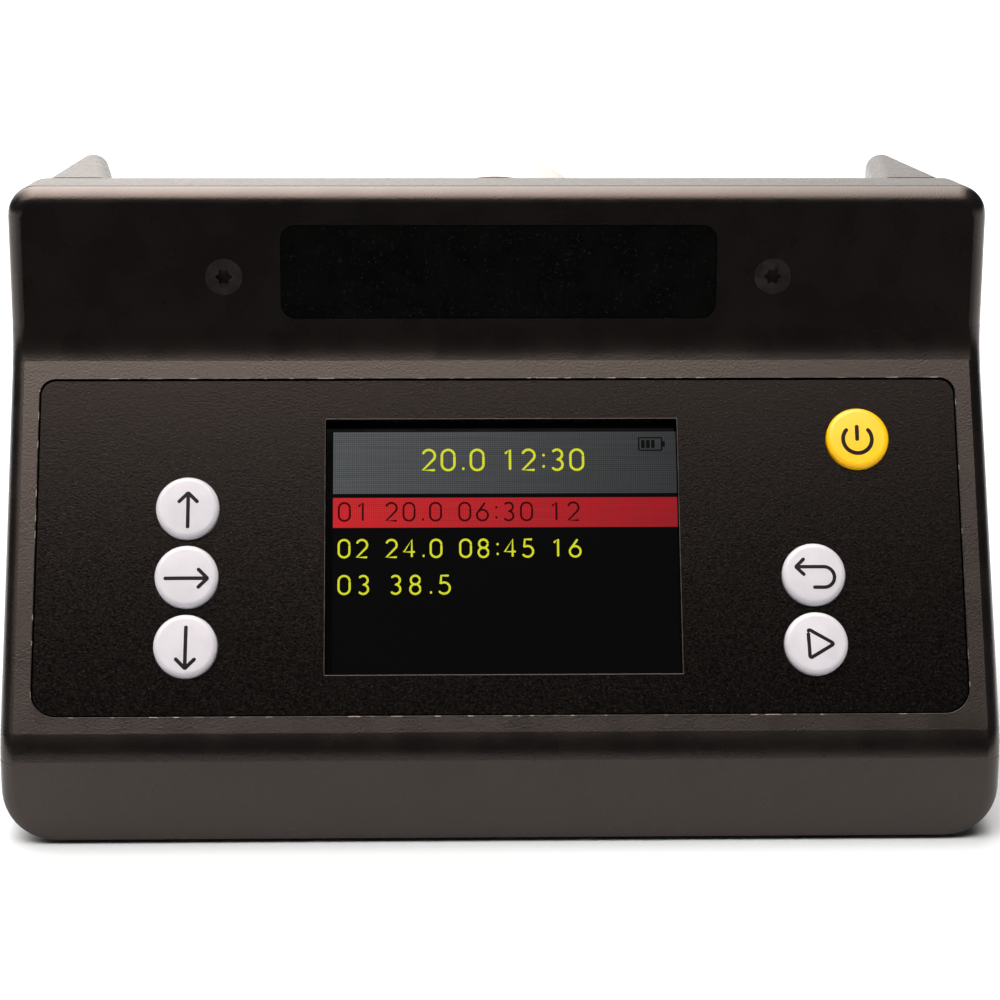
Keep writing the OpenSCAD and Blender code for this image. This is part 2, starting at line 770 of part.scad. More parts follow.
module board_screws() color(steel) in_frame() on_panel() board_posts() translate([0, 0, -board_low])
    rotate([180, 0, 0]) pan_screw(screw_r, board_screw_len, head_r, head_h);

module tact_switches() color(chip_black) in_frame() on_panel() for (b = buttons) difference() {
    translate([b[0], b[1], -board_top]) linear_extrude(switch_h) square(switch_w, center = true);
    translate([b[0], b[1], -switch_top - stem_in - button_travel - slide])
        cylinder(r = stem_r + slide, h = switch_h + button_travel);
}

// Push button about [x, up] on the panel: domed cap, two ears behind the casing and a stem
module push_button(at) in_frame() on_panel() translate([at[0], at[1], 0]) {
    dome_r = (button_r * button_r + button_dome * button_dome) / (2 * button_dome);
    intersection() {
        translate([0, 0, -ear_low]) cylinder(r = button_r, h = ear_low + button_rim + button_dome);
        translate([0, 0, button_rim + button_dome - dome_r]) sphere(dome_r, $fn = 2 * $fn);
    }
    translate([0, 0, -ear_low]) linear_extrude(ear_t) square([ear_w, ear_h], center = true);
    translate([0, 0, -switch_top - stem_in]) cylinder(r = stem_r, h = switch_top + stem_in);
}

module button_up() color(white_cap) push_button(buttons[0]);

module button_select() color(white_cap) push_button(buttons[1]);

module button_down() color(white_cap) push_button(buttons[2]);

module button_power() color(yellow_cap) push_button(buttons[3]);

module button_back() color(white_cap) push_button(buttons[4]);

module button_start() color(white_cap) push_button(buttons[5]);

module cell_line(r, len) translate([0, cell_y, cell_z]) rotate([0, 90, 0])
    cylinder(r = r, h = len, center = true);

module battery_tray() color(rubber_black) in_frame() difference() {
    translate([-cell_len - tray_t - slide, cell_y - cell_r - tray_t, z_floor + seat])
        cube([2 * (cell_len + tray_t + slide), 2 * (cell_r + tray_t), tray_h]);
    cell_line(cell_r + drop, 2 * (cell_len + slide));
}

module battery_cells() color(cell_blue) in_frame() for (s = [-1, 1])
    translate([s * (cell_len + slide) / 2, 0, 0]) cell_line(cell_r, cell_len);

module case_screws() color(steel) in_frame() for (s = [-1, 1])
    translate([s * case_x, y_cover + case_web, case_z]) rotate([-90, 0, 0])
        pan_screw(screw_r, case_web + gasket_t + case_thread - thread_gap, head_r, head_h);

module drive_plate() color(steel) in_frame() difference() {
    along_y(y_plate, y_plate_back) hull() {
        for (p = pillars) translate(p) circle(pillar_r + plate_rim, $fn = hull_fn);
        translate(spindle_at) circle(holder_r, $fn = hull_fn);
        translate(idler_at) circle(idler_pin_r + wall, $fn = hull_fn);
    }
    rod_y(shaft_r + bush_wall + seat, spindle_at, y_plate - 1, y_plate_back + 1);
    rod_y(idler_pin_r + seat, idler_at, y_plate - 1, y_plate_back + 1);
    for (p = pillars) rod_y(screw_r + screw_gap, p, y_plate - 1, y_plate_back + 1);
}

module plate_screws() color(steel) in_frame() for (p = pillars)
    translate([p[0], y_plate, p[1]]) rotate([90, 0, 0])
        pan_screw(screw_r, drive_plate_t + plate_thread, head_r, plate_head_h);

module spindle_bush() color(brass_tone) in_frame() difference() {
    union() {
        rod_y(shaft_r + bush_wall, spindle_at, y_plate - bush_flange, y_plate_back + gear_gap / 2);
        rod_y(shaft_r + bush_wall + bush_rim, spindle_at, y_plate - bush_flange, y_plate - seat);
    }
    rod_y(shaft_r + turn, spindle_at, y_plate - 2, y_plate_back + 2);
}

module spindle_bearing() color(steel) in_frame() difference() {
    rod_y(bearing_r, spindle_at, y_boss + seat, y_boss + bearing_w - seat);
    rod_y(shaft_r + turn, spindle_at, y_boss - 1, y_boss + bearing_w + 1);
}

module shaft_seal() color(rubber_black) in_frame() difference() {
    rod_y(seal_r, spindle_at, y_boss_end - seal_w + seat, y_boss_end);
    rod_y(shaft_r + turn, spindle_at, y_boss_end - seal_w - 1, y_boss_end + 1);
}

module spindle_shaft() color(steel) in_frame() difference() {
    rod_y(shaft_r, spindle_at, y_shaft, y_nut + nut_t + 1);
    rod_y(probe_bore_r, spindle_at, y_shaft - 1, y_hub_end + 1);
}

module spur_gear(n, at, a, bore_r) difference() {
    along_y(y_gear, y_gear_back) translate(at) polygon(gear_outline(n, a));
    rod_y(bore_r, at, y_gear - 1, y_gear_back + 1);
}

module spindle_gear() color(gear_white) in_frame()
    spur_gear(spindle_teeth, spindle_at, -gear_slant, shaft_r + seat);

module idler_pin() color(steel) in_frame() rod_y(idler_pin_r, idler_at, y_plate - pin_out, y_inside);

module idler_gear() color(gear_white) in_frame()
    spur_gear(idler_teeth, idler_at, 180 - gear_slant + 180 / idler_teeth, idler_pin_r + turn);

module gear_motor() color(steel) in_frame() difference() {
    union() {
        rod_y(motor_boss_r, motor_at, y_inside + fuse, y_rear + 1);
        rod_y(motor_r, motor_at, y_rear + seat, y_rear + gearbox_len);
        rod_y(motor_r - motor_step, motor_at, y_rear + gearbox_len - 1, y_rear + motor_len - motor_cap);
        rod_y(motor_cap_r, motor_at, y_rear + motor_len - motor_cap - 1, y_rear + motor_len);
    }
    rod_y(motor_shaft_r + turn, motor_at, y_inside, y_rear + motor_bore);
    for (s = [-1, 1]) translate([0, y_rear, 0])
        rod_y(motor_screw_r + screw_gap, motor_at + [0, s * motor_screw_x], 0, motor_thread + 1);
}

module motor_screws() color(steel) in_frame() for (s = [-1, 1])
    translate([motor_at[0], y_inside, motor_at[1] + s * motor_screw_x]) rotate([90, 0, 0])
        pan_screw(motor_screw_r, wall + motor_thread, motor_head_r, motor_head_h);

module motor_shaft() color(steel) in_frame()
    rod_y(motor_shaft_r, motor_at, y_gear - pin_out, y_rear + motor_bore - 1);

module motor_pinion() color(brass_tone) in_frame()
    spur_gear(pinion_teeth, motor_at, 180 - gear_slant, motor_shaft_r + seat);

module tank_hub() color(white_cap) in_frame() difference() {
    union() {
        rod_y(hub_neck_r, spindle_at, y_hub, y_drum + fuse);
        rod_y(hub_r, spindle_at, y_drum, y_hub_end - hub_chamfer);
        translate([0, y_hub_end - hub_chamfer, axis_z]) rotate([-90, 0, 0])
            cylinder(r1 = hub_r, r2 = hub_r - hub_chamfer, h = hub_chamfer);
    }
    rod_y(shaft_r + seat, spindle_at, y_hub - 1, y_hub_end + 1);
    rod_y(nut_r + nut_room, spindle_at, y_nut, y_hub_end + 1);
    for (k = [0:2]) translate([0, 0, axis_z]) rotate([0, 60 + 120 * k, 0])
        translate([-slot_w / 2, y_hub_end - slot_d, nut_r]) cube([slot_w, slot_d + 1, hub_r]);
}

module hub_nut() color(steel) in_frame() difference() {
    along_y(y_nut + seat, y_nut + nut_t) translate(spindle_at) circle(nut_r, $fn = 6);
    rod_y(shaft_r + seat, spindle_at, y_nut - 1, y_nut + nut_t + 1);
}

module probe_tube() color(steel) in_frame() {
    rod_y(probe_r, spindle_at, y_holder, y_hub_end + probe_out - probe_r);
    translate([0, y_hub_end + probe_out - probe_r, axis_z]) sphere(probe_r);
}

module probe_holder() color(rubber_black) in_frame() difference() {
    rod_y(holder_r, spindle_at, y_holder, y_plate - seat);
    rod_y(holder_r - holder_wall, spindle_at, y_holder + holder_t, y_plate + 1);
    rod_y(probe_r + seat, spindle_at, y_holder - 1, y_plate);
}

// Round-topped post of a cheek, up to the falling top line
module cheek_post(x, y) {
    translate([x, y, foot_h]) cylinder(r = cheek_r, h = top_z(y) - cheek_r - foot_h, $fn = hull_fn);
    translate([x, y, top_z(y) - cheek_r]) sphere(cheek_r, $fn = hull_fn);
}

module cheek(side) difference() {
    hull() {
        cheek_post(side * tip_x, y_rear - cheek_r);
        cheek_post(side * (root_x - cheek_lean * cheek_r), y_rear - cheek_r);
        cheek_post(side * tip_x, tip_y);
    }
    translate([-body_w, 0, 0]) cube([2 * body_w, y_rear, 2 * body_h]);
    for (z = cheek_screw_z)
        rod_y(screw_r + screw_gap, [side * cheek_screw_x, z], y_rear - 1, y_rear + cheek_screw_len);
    for (y = side_screw_y) translate([side * cheek_x, y, side_screw_z]) rotate([0, side * 90, 0])
        sunk_hole(cheek_root_t + 2);
}

module cheek_left() color(case_black) in_frame() cheek(-1);

module cheek_right() color(case_black) in_frame() cheek(1);

module cheek_pads() color(rubber_black) in_frame() on_both_sides() {
    a = y_rear + pad_gap;
    b = a + pad_len;
    z_low = saddle_h + pad_up;
    translate([0, 0, z_low]) linear_extrude(top_z(b) - cheek_r - z_low) polygon([
        [cheek_in(a) - seat, a], [cheek_in(b) - seat, b],
        [cheek_in(b) - seat - pad_t, b], [cheek_in(a) - seat - pad_t, a]
    ]);
}

module cheek_screws() color(steel) in_frame() for (s = [-1, 1], z = cheek_screw_z)
    translate([s * cheek_screw_x, y_inside, z]) rotate([90, 0, 0])
        pan_screw(screw_r, wall + cheek_screw_len - thread_gap, head_r, head_h);

// Plan of the saddle between the cheeks, drawn in by i
module saddle_plan(i, y_a, y_b) linear_extrude(2 * body_h) polygon([
    [-cheek_in(y_a) + seat + i, y_a], [cheek_in(y_a) - seat - i, y_a],
    [cheek_in(y_b) - seat - i, y_b], [-cheek_in(y_b) + seat + i, y_b]
]);

// Cross-section of the saddle under its trough, drawn in by i
module saddle_section(i) difference() {
    translate([-body_w, foot_h + i]) square([2 * body_w, saddle_h - foot_h - 2 * i]);
    translate(spindle_at) circle(trough_r + i);
}

module saddle() color(case_black) in_frame() difference() {
    intersection() {
        union() {
            difference() {
                along_y(y_rear, saddle_end) saddle_section(0);
                intersection() {
                    along_y(y_rear - 1, saddle_end - saddle_wall) saddle_section(saddle_wall);
                    saddle_plan(saddle_wall, y_rear - 1, saddle_end);
                }
            }
            for (p = saddle_at) rod_y(boss_r, p, y_rear, y_rear + saddle_screw_len + 2);
            for (s = [-1, 1], y = side_screw_y) translate([s * (cheek_in(y) - side_boss), y, side_screw_z])
                rotate([0, s * 90, 0]) cylinder(r = boss_r, h = side_boss + wall);
        }
        saddle_plan(0, y_rear, saddle_end);
    }
    for (p = saddle_at) rod_y(screw_r + screw_gap, p, y_rear - 1, y_rear + saddle_screw_len);
    for (s = [-1, 1], y = side_screw_y) translate([s * (cheek_in(y) - side_boss - 1), y, side_screw_z])
        rotate([0, s * 90, 0]) cylinder(r = screw_r + screw_gap, h = side_boss + wall);
    for (s = [-1, 1]) {
        at_roller(s) translate([0, 0, -trough_r - bracket_t]) linear_extrude(trough_r / 4)
            square([bracket_w + 2 * drop, 2 * (bracket_half + bracket_tab + drop)], center = true);
        at_roller(s) for (y = [-1, 1]) translate([0, y * bracket_screw_y, -trough_r - saddle_wall - 1])
            cylinder(r = small_screw_r + screw_gap, h = saddle_wall + 2);
        translate([s * foot_back[0], foot_back[1], 0]) cylinder(r = foot_r + drop, h = foot_h + foot_sink);
    }
}

module saddle_screws() color(steel) in_frame() for (p = saddle_at)
    translate([p[0], y_inside, p[1]]) rotate([90, 0, 0])
        pan_screw(screw_r, wall + saddle_screw_len - thread_gap, head_r, head_h);

module side_screws() color(dark_steel) in_frame() for (s = [-1, 1], y = side_screw_y)
    translate([s * cheek_x, y, side_screw_z]) rotate([0, s * 90, 0])
        sunk_screw(cheek_x - cheek_in(y) + side_boss - side_screw_gap);

module roller_bracket(side) at_roller(side) difference() {
    union() {
        translate([-bracket_w / 2, -bracket_half - bracket_tab, -trough_r - bracket_t + seat])
            cube([bracket_w, 2 * (bracket_half + bracket_tab), bracket_t - seat]);
        for (y = [-bracket_half, bracket_half - ear_plate])
            translate([0, y, -trough_r - fuse]) {
                translate([-ear_rise, 0, 0]) cube([2 * ear_rise, ear_plate, trough_r - roller_at + fuse]);
                translate([0, ear_plate, trough_r - roller_at + fuse]) rotate([90, 0, 0])
                    cylinder(r = ear_rise, h = ear_plate);
            }
    }
    rod_y(axle_r + seat, [0, -roller_at], -bracket_half - 1, bracket_half + 1);
    for (y = [-1, 1]) translate([0, y * bracket_screw_y, -trough_r - bracket_t - 1])
        cylinder(r = small_screw_r + screw_gap, h = bracket_t + 2);
}

module bracket_left() color(dark_steel) in_frame() roller_bracket(-1);

module bracket_right() color(dark_steel) in_frame() roller_bracket(1);

module bracket_screws() color(steel) in_frame() for (s = [-1, 1], y = [-1, 1])
    at_roller(s) translate([0, y * bracket_screw_y, -trough_r])
        pan_screw(small_screw_r, bracket_screw_len, small_head_r, small_head_h);

module roller_axles() color(steel) in_frame() for (s = [-1, 1])
    at_roller(s) rod_y(axle_r, [0, -roller_at], -bracket_half, bracket_half);

module roller(side) at_roller(side) difference() {
    rod_y(roller_core_r, [0, -roller_at], -roller_len / 2, roller_len / 2);
    rod_y(axle_r + turn, [0, -roller_at], -roller_len, roller_len);
}

module tyre(side) at_roller(side) difference() {
    rod_y(roller_r, [0, -roller_at], -roller_len / 2 + tyre_inset, roller_len / 2 - tyre_inset);
    rod_y(roller_core_r + seat, [0, -roller_at], -roller_len, roller_len);
}

module roller_left() color(white_cap) in_frame() roller(-1);

module roller_right() color(white_cap) in_frame() roller(1);

module tyre_left() color(rubber_black) in_frame() tyre(-1);

module tyre_right() color(rubber_black) in_frame() tyre(1);

module at_inlet() translate([-body_w / 2, inlet_y, inlet_z]) rotate([0, 90, 0]) children();

module power_inlet() color(rubber_black) in_frame() at_inlet() {
    difference() {
        union() {
            translate([0, 0, inlet_sink]) cylinder(r = inlet_flange_r, h = inlet_flange - inlet_sink - seat);
            translate([0, 0, inlet_sink]) cylinder(r = inlet_r, h = inlet_len);
        }
        translate([0, 0, -1]) cylinder(r = socket_r, h = socket_len + 1);
    }
    translate([0, 0, 1]) cylinder(r = socket_pin_r, h = socket_len);
}

module inlet_nut() color(steel) in_frame() at_inlet() translate([0, 0, wall + seat]) difference() {
    cylinder(r = inlet_nut_r, h = inlet_nut_t, $fn = 6);
    translate([0, 0, -1]) cylinder(r = inlet_r + seat, h = inlet_nut_t + 2);
}

module feet() color(rubber_black) in_frame() for (s = [-1, 1], p = [foot_front, foot_back])
    translate([s * p[0], p[1], 0]) cylinder(r = foot_r, h = foot_h + foot_sink - seat);

front_casing();
rear_cover();
seam_gasket();
control_overlay();
name_plate();
header_screws();
display_glass();
display_frame();
control_board();
board_chips();
buzzer();
board_screws();
tact_switches();
button_up();
button_select();
button_down();
button_power();
button_back();
button_start();
battery_tray();
battery_cells();
case_screws();
drive_plate();
plate_screws();
spindle_bush();
spindle_bearing();
shaft_seal();
spindle_shaft();
spindle_gear();
idler_pin();
idler_gear();
gear_motor();
motor_screws();
motor_shaft();
motor_pinion();
tank_hub();
hub_nut();
probe_tube();
probe_holder();
cheek_left();
cheek_right();
cheek_pads();
cheek_screws();
saddle();
saddle_screws();
side_screws();
bracket_left();
bracket_right();
bracket_screws();
roller_axles();
roller_left();
roller_right();
tyre_left();
tyre_right();
power_inlet();
inlet_nut();
feet();
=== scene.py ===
# %% [markdown]
# # A desk-top film processor
#
# The construction comes packed as a frame of named nodes: shells, panel, buttons, drive and cradle. This
# script gives it its looks. It paints every node with a procedural finish, adds what is moulded too finely,
# printed or lit for the frame to hold, and sets up a pale studio with the camera at the photo's angle.
# Lengths are in metres and the frame is the part's own: X across, Y from front to back, Z up.

# %% The frame
import math

import bmesh
import bpy
import numpy as np
from mathutils import Matrix


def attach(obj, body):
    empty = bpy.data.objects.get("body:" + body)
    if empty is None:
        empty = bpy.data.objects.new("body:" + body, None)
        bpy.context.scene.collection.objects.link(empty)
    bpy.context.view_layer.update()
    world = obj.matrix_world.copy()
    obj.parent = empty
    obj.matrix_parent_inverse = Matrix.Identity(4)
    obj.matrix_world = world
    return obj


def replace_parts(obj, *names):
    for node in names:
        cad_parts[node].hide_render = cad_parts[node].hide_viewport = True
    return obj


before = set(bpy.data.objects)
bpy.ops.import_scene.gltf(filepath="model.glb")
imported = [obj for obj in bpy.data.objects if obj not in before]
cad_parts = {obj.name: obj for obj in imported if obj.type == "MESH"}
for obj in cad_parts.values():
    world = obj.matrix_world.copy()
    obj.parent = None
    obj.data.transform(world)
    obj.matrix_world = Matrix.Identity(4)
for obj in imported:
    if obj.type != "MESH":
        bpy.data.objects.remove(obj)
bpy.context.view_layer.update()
MM = 0.001


# %% [markdown]
# ## Helpers for finishes
#
# A colour is written as the hex value that the eye reads, and one function turns it into the linear value
# that light is added up in. One more function adds a shader node with its settings and sets each input to a
# constant or to another node's output. Everything else about a finish is built from these two.

# %% Helpers for finishes
def linear(code):
    """Hex sRGB to linear RGBA: up to 0.04045 divided by 12.92, above it a 2.4 power of a shifted value."""
    s = np.array([int(code[k:k + 2], 16) for k in (1, 3, 5)]) / 255
    rgb = np.where(s <= 0.04045, s / 12.92, ((s + 0.055) / 1.055) ** 2.4)
    return (*rgb, 1.0)


def pick(sockets, name):
    """The socket of this name, or of this identifier, with its spaces written as underscores."""
    return next(s for s in sockets if name in (s.identifier, s.name.replace(" ", "_")))


def wire(tree, node, **inputs):
    """Sets each named input of a node: a socket is linked to it, anything else becomes its constant."""
    for name, value in inputs.items():
        socket = pick(node.inputs, name)
        if isinstance(value, bpy.types.NodeSocket):
            tree.links.new(value, socket)
        else:
            socket.default_value = value


def add(tree, kind, output, settings=None, **inputs):
    """Adds a shader node of this kind with its settings and inputs, and gives back the named output."""
    node = tree.nodes.new("ShaderNode" + kind)
    for key, value in (settings or {}).items():
        setattr(node, key, value)
    wire(tree, node, **inputs)
    return pick(node.outputs, output)


def surface(mat):
    """The shader that all of a finish's patterns run into."""
    return mat.node_tree.nodes["Principled BSDF"]


print("helpers ready")


# %% [markdown]
# ## What a finish is made of
#
# No moulded, cut or turned surface is even: its gloss and its tone wander a little over a few millimetres.
# So every finish starts from two near tones and two near roughnesses, and noise moves it between them. A
# moulded grain, turning marks or flake come on top. Painted pictures could do the same, but noise in real
# millimetres needs no unwrapping and stays sharp at any distance.

# %% What a finish is made of
CLOUD_LOW, CLOUD_HIGH = 0.35, 0.65


def coat(name, colour, roughness, **constants):
    """A plain coat: colour, roughness and any other constant of the surface shader."""
    mat = bpy.data.materials.new(name)
    mat.use_nodes = True
    wire(mat.node_tree, surface(mat), Base_Color=linear(colour), Roughness=roughness, **constants)
    return mat


def finish(name, tones, roughness, pitch, **constants):
    """A coat whose tone and roughness both follow one noise of this pitch between their two values."""
    mat = coat(name, tones[0], roughness[0], **constants)
    tree = mat.node_tree
    place = add(tree, "TexCoord", "Object")
    cloud = add(tree, "TexNoise", "Fac", Vector=place, Scale=1 / pitch, Detail=3.0)
    level = add(tree, "MapRange", "Result", Value=cloud, From_Min=CLOUD_LOW, From_Max=CLOUD_HIGH)
    tone = add(
        tree, "Mix", "Result_Color", {"data_type": "RGBA"},
        Factor_Float=level, A_Color=linear(tones[0]), B_Color=linear(tones[1]),
    )
    gloss = add(tree, "MapRange", "Result", Value=level, To_Min=roughness[0], To_Max=roughness[1])
    wire(tree, surface(mat), Base_Color=tone, Roughness=gloss)
    return mat


def grain(mat, pitch, depth, stretch=(1.0, 1.0, 1.0)):
    """Grain: noise of this pitch, divided by the stretch along each axis, moves the surface by the depth."""
    tree = mat.node_tree
    place = add(tree, "TexCoord", "Object")
    drawn = add(tree, "Mapping", "Vector", Vector=place, Scale=[s / pitch for s in stretch])
    height = add(tree, "TexNoise", "Fac", Vector=drawn, Scale=1.0, Detail=2.0, Roughness=0.6)
    normal = add(tree, "Bump", "Normal", Height=height, Distance=depth, Strength=1.0)
    wire(tree, surface(mat), Normal=normal)


def flake(mat, pitch, share, light):
    """Flake: each cell of this pitch draws a random number, and the top share of the cells turn light."""
    tree = mat.node_tree
    place = add(tree, "TexCoord", "Object")
    cell = add(tree, "TexVoronoi", "Color", Vector=place, Scale=1 / pitch)
    draw = add(tree, "SeparateColor", "Red", Color=cell)
    lift = add(tree, "MapRange", "Result", Value=draw, From_Min=1 - share, From_Max=1.0)
    below = surface(mat).inputs["Base Color"].links[0].from_socket
    tone = add(
        tree, "Mix", "Result_Color", {"data_type": "RGBA"},
        Factor_Float=lift, A_Color=below, B_Color=linear(light),
    )
    wire(tree, surface(mat), Base_Color=tone)


print("coat, finish, grain and flake ready")


# %% [markdown]
# ## Black shells, overlay and name plate
#
# Shells, cheeks and saddle are moulded in black ABS from an etched tool, which leaves a fine leather grain
# with a satin gloss. The gloss of such a black is a little warm, which the specular tint gives. The overlay
# and the name plate are black polyester film with fine flake in the ink. The overlay is matted, so its tone
# and gloss change from one half millimetre to the next, and its cut edges stay paler.

# %% Black shells, overlay and name plate
WARM = (1.0, 0.83, 0.76, 1.0)
case_black = finish(
    "ABS black, etched grain", ("#070707", "#090909"), (0.25, 0.3), 7 * MM,
    Specular_Tint=WARM, Specular_IOR_Level=0.62,
)
grain(case_black, 0.32 * MM, 0.028 * MM)
overlay_black = finish(
    "polyester film, matte black", ("#030303", "#060505"), (0.1, 0.2), 0.45 * MM,
    Specular_Tint=WARM, Specular_IOR_Level=0.2,
)
grain(overlay_black, 0.3 * MM, 0.017 * MM)
flake(overlay_black, 0.2 * MM, 0.06, "#1b1817")
plate_black = finish(
    "polyester film, deep black", ("#020202", "#040404"), (0.26, 0.3), 6 * MM, Specular_IOR_Level=0.2,
)
grain(plate_black, 0.26 * MM, 0.01 * MM)
flake(plate_black, 0.2 * MM, 0.05, "#1e1c1b")
film_edge = finish("polyester film, cut edge", ("#231f1d", "#3b3532"), (0.4, 0.6), 2.5 * MM)
scraped_with_glints = finish("ABS black, scraped edge", ("#060606", "#0c0b0b"), (0.4, 0.5), 3 * MM)
# The pale flecks are painted glints, where the ragged edge catches the light above, put into its colour.
flake(scraped_with_glints, 1.3 * MM, 0.2, "#8f827b")
# Matte black for the ribbon round the overlay: painted shadow of the narrow gap there.
gap_shadow_black = finish("painted gap shadow, black", ("#000000", "#010101"), (0.9, 1.0), 5 * MM, Specular_IOR_Level=0.0)
print("black finishes:", case_black.name, "/", overlay_black.name, "/", plate_black.name)

# %% [markdown]
# ## Pale and coloured plastics
#
# The button caps are polished ABS, rubbed a little by fingers. The hub is turned from white acetal, so fine
# rings run round it: they are drawn 0.5 mm apart, coarser than real ones, so that they show. The gears are
# natural nylon.

# %% Pale and coloured plastics
RINGS = (0.02, 1.0, 0.02)
cap_white = finish("ABS white, satin", ("#b0aeb5", "#b6b4bb"), (0.3, 0.38), 4 * MM)
cap_yellow = finish("ABS yellow, satin", ("#eaae00", "#eeb406"), (0.3, 0.38), 4 * MM)
hub_white = finish("acetal white, turned", ("#aaa7a4", "#b2afac"), (0.38, 0.48), 9 * MM)
grain(hub_white, 0.5 * MM, 0.01 * MM, RINGS)
gear_white = finish("nylon natural, moulded", ("#e2ddcc", "#ece8dc"), (0.42, 0.55), 3 * MM)
grain(gear_white, 0.4 * MM, 0.004 * MM)
cell_sleeve = finish("PVC sleeve, blue", ("#33568f", "#3f66a4"), (0.32, 0.42), 5 * MM)
print("plastics:", cap_white.name, "/", cap_yellow.name, "/", hub_white.name)

# %% [markdown]
# ## Rubber, black nylon, board and glass
#
# Rubber is dull and carries a faint bloom. Small black mouldings are nylon. The circuit board has a green
# resist over its copper, and the display's cover glass is black from behind with a trace of wiping on it.

# %% Rubber, black nylon, board and glass
rubber_black = finish("EPDM rubber, black", ("#131212", "#1d1c1b"), (0.72, 0.86), 3 * MM)
grain(rubber_black, 0.35 * MM, 0.01 * MM)
nylon_black = finish("nylon black, moulded", ("#191818", "#201f1f"), (0.46, 0.58), 4 * MM)
grain(nylon_black, 0.3 * MM, 0.006 * MM)
board_green = finish("FR4 board, green resist", ("#174a2f", "#226643"), (0.3, 0.4), 2.2 * MM)
screen_glass = finish(
    "cover glass over dark display", ("#030404", "#050606"), (0.04, 0.08), 14 * MM, Specular_IOR_Level=0.15,
)
print("others:", rubber_black.name, "/", nylon_black.name, "/", board_green.name, "/", screen_glass.name)

# %% [markdown]
# ## Metals
#
# Screws, shafts and the motor's can are zinc-plated or ground steel, the visible screws black oxide. The
# drive plate is milled aluminium with its tool lines along X, and bush and pinion are turned brass with
# rings about Y.

# %% Metals
LINES = (0.03, 1.0, 1.0)
steel_zinc = finish("steel, zinc plated", ("#aeb1b5", "#c2c4c7"), (0.24, 0.36), 2.5 * MM, Metallic=1.0)
grain(steel_zinc, 0.3 * MM, 0.002 * MM)
steel_black = finish("steel, black oxide", ("#231f1e", "#2e2927"), (0.32, 0.44), 1.5 * MM, Metallic=0.5)
grain(steel_black, 0.25 * MM, 0.004 * MM)
aluminium = finish("aluminium, milled", ("#b9bbbe", "#cbcdcf"), (0.28, 0.4), 6 * MM, Metallic=1.0)
grain(aluminium, 0.5 * MM, 0.004 * MM, LINES)
brass = finish("brass, turned", ("#b0924c", "#bfa25e"), (0.22, 0.32), 3 * MM, Metallic=1.0)
grain(brass, 0.4 * MM, 0.003 * MM, RINGS)
print("metals:", steel_zinc.name, "/", steel_black.name, "/", aluminium.name, "/", brass.name)

# %% [markdown]
# ## Painting the frame
#
# Each node takes the finish of its real material. What isn't named here is plated steel: screws, shafts,
# bearing, motor and nuts.

# %% Painting the frame
PAINT = {
    case_black: ["front_casing", "rear_cover", "saddle", "cheek_left", "cheek_right"],
    overlay_black: ["control_overlay"],
    plate_black: ["name_plate"],
    cap_white: ["roller_left", "roller_right"],
    hub_white: ["tank_hub"],
    rubber_black: ["seam_gasket", "shaft_seal", "cheek_pads", "tyre_left", "tyre_right", "feet"],
    nylon_black: [
        "display_frame", "board_chips", "buzzer", "tact_switches", "battery_tray", "probe_holder",
        "power_inlet",
    ],
    board_green: ["control_board"],
    gear_white: ["spindle_gear", "idler_gear"],
    steel_black: ["header_screws", "side_screws", "bracket_left", "bracket_right"],
    aluminium: ["drive_plate"],
    brass: ["spindle_bush", "motor_pinion"],
    cell_sleeve: ["battery_cells"],
    screen_glass: ["display_glass"],
}
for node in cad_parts.values():
    node.data.materials.clear()
    node.data.materials.append(steel_zinc)
for mat, names in PAINT.items():
    for name in names:
        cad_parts[name].data.materials[0] = mat
print("painted", len(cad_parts), "nodes with", len(PAINT) + 1, "finishes")

# %% [markdown]
# ## Smooth shading of the frame
#
# The frame's meshes are loose triangles. A weld joins them so that round faces shade smoothly, and a split
# wherever two faces meet at more than 24 degrees keeps the real edges crisp.

# %% Smooth shading of the frame
WELD = 0.002 * MM
SPLIT = math.radians(24)
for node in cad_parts.values():
    weld = node.modifiers.new("weld", "WELD")
    weld.merge_threshold = WELD
    split = node.modifiers.new("crisp edges", "EDGE_SPLIT")
    split.split_angle = SPLIT
    even = node.modifiers.new("even normals", "WEIGHTED_NORMAL")
    even.keep_sharp = True
print("welded and split", len(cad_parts), "nodes")

# %% [markdown]
# ## Places on the panel
#
# The panel leans back 30 degrees from upright. A place on it is given as u across, v up the slope from the
# lower fold and h out of its face, all in millimetres. New pieces are worked out as grids of such places.

# %% Places on the panel
RECLINE = math.radians(30)
FOLD = np.array([0.0, -58.1, 16.8])
ACROSS = np.array([1.0, 0.0, 0.0])
SLOPE = np.array([0.0, math.sin(RECLINE), math.cos(RECLINE)])
OUT = np.array([0.0, -math.cos(RECLINE), math.sin(RECLINE)])
CRISP = math.radians(35)
DOUBLE = 0.0002 * MM


def on_panel(u, v, h):
    """Panel to part, in metres: the fold's point plus u across, v up the slope and h out of it."""
    u, v, h = np.broadcast_arrays(u, v, h)
    return (FOLD + u[..., None] * ACROSS + v[..., None] * SLOPE + h[..., None] * OUT) * MM


def laid(flat, height):
    """Flat shapes, given by u and v, laid on the panel at this height."""
    return on_panel(flat[..., 0], flat[..., 1], height)


